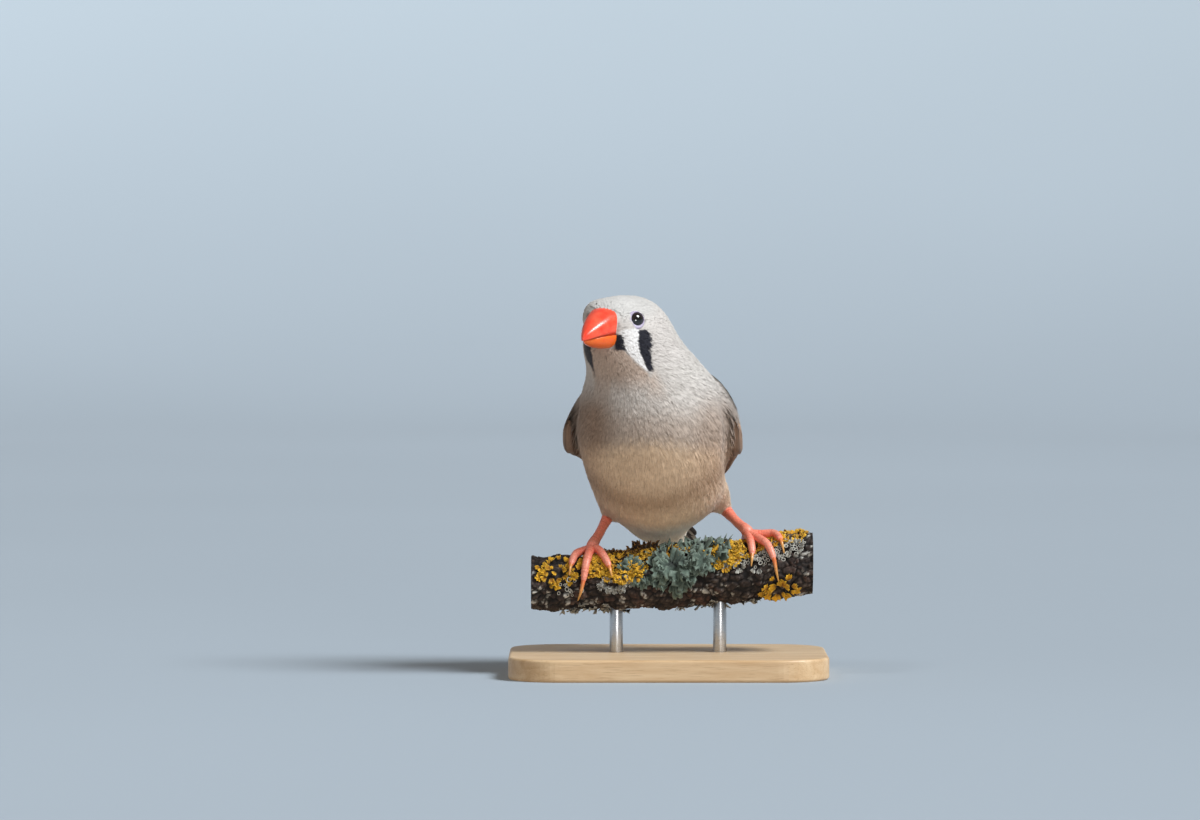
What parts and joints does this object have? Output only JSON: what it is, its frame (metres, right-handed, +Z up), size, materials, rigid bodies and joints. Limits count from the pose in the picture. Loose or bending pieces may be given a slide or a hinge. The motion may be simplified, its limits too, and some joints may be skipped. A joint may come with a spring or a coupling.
{
  "type": "perched zebra finch model",
  "caption": "Still, life-size zebra finch hen gripping a short lichened branch, held over a flat wooden base by steel rods.",
  "frame": {"origin": "middle of the underside of the stand's base", "axes": "+Z up, +X along the perch towards the bird's left, the bird faces about -Y"},
  "size_m": [0.086, 0.084, 0.1026],
  "materials": {
    "head_feathers": "soft, fine pale grey-brown feathers with dark flecks, white lores and a black tear stripe",
    "body_feathers": "soft feathers, pale grey on the breast, buff on the flanks, cream below",
    "wing_feathers": "firm brown-grey vanes with paler edges",
    "tail_feathers": "firm blackish vanes under white-barred coverts",
    "leg_feathers": "short soft buff-white feathers",
    "bill": "smooth waxy orange-red horn",
    "eyes": "wet dark brown-black",
    "leg_skin": "scaled orange-pink skin",
    "claws": "amber horn, paler at the tips",
    "bark": "rough dark bark with yellow and grey-green lichens",
    "stand_wood": "pale oiled wood",
    "stand_steel": "brushed"
  },
  "bodies": {
    "root": {"head": "head_feathers", "neck": "body_feathers", "torso": "body_feathers", "tail": "tail_feathers", "bill_upper": "bill", "bill_lower": "bill", "eye_left": "eyes", "eye_right": "eyes", "wing_left": "wing_feathers", "wing_right": "wing_feathers", "thigh_left": "leg_feathers", "thigh_right": "leg_feathers", "shank_left": "leg_skin", "shank_right": "leg_skin", "toe_middle_left": "leg_skin", "toe_outer_left": "leg_skin", "toe_inner_left": "leg_skin", "toe_hind_left": "leg_skin", "claw_middle_left": "claws", "claw_outer_left": "claws", "claw_inner_left": "claws", "claw_hind_left": "claws", "toe_middle_right": "leg_skin", "toe_outer_right": "leg_skin", "toe_inner_right": "leg_skin", "toe_hind_right": "leg_skin", "claw_middle_right": "claws", "claw_outer_right": "claws", "claw_inner_right": "claws", "claw_hind_right": "claws", "perch_branch": "bark", "stand_base": "stand_wood", "stand_rod_left": "stand_steel", "stand_rod_right": "stand_steel"}
  },
  "joints": []
}
